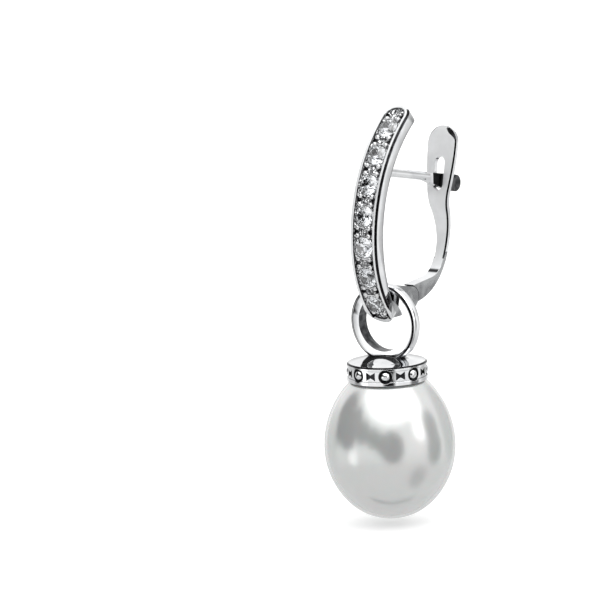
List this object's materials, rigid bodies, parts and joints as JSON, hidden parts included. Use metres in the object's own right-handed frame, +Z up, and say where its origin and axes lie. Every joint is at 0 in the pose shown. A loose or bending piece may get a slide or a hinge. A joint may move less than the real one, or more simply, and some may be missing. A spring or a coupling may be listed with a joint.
{
  "type": "leverback drop earring",
  "caption": "Leverback earring: curved bar set with round stones, ear post, sprung back lever, and a pearl drop in a domed cap on a bail ring.",
  "frame": {"origin": "middle of the ear post's round part, where it passes through the ear lobe", "axes": "+Z up along the hanging drop, +X across the earring toward its right-hand side, +Y from the front bar back toward the lever; at rest the drop hangs plumb and the hoop leans back 12.5 degrees"},
  "size_m": [0.012, 0.0178, 0.0378],
  "materials": {
    "silver": "rhodium-plated polished silver",
    "stone": "faceted clear cubic zirconia",
    "pearl": "glossy nacre"
  },
  "bodies": {
    "hoop": {"front_bar": "silver", "stone_1": "stone", "stone_2": "stone", "stone_3": "stone", "stone_4": "stone", "stone_5": "stone", "stone_6": "stone", "stone_7": "stone", "hinge_pin": "silver"},
    "lever": {"lever": "silver"},
    "drop": {"drop_cap": "silver", "pearl": "pearl"}
  },
  "joints": [
    {"name": "lever_hinge", "type": "hinge", "parent": "hoop", "child": "lever", "pos_m": [0, -0.00083, -0.01125], "axis": [-1, 0, 0], "range_deg": [0, 50]},
    {"name": "drop_swing", "type": "hinge", "parent": "hoop", "child": "drop", "pos_m": [0, -0.0043, -0.013], "axis": [0, 1, 0], "range_deg": [-90, 90]}
  ]
}
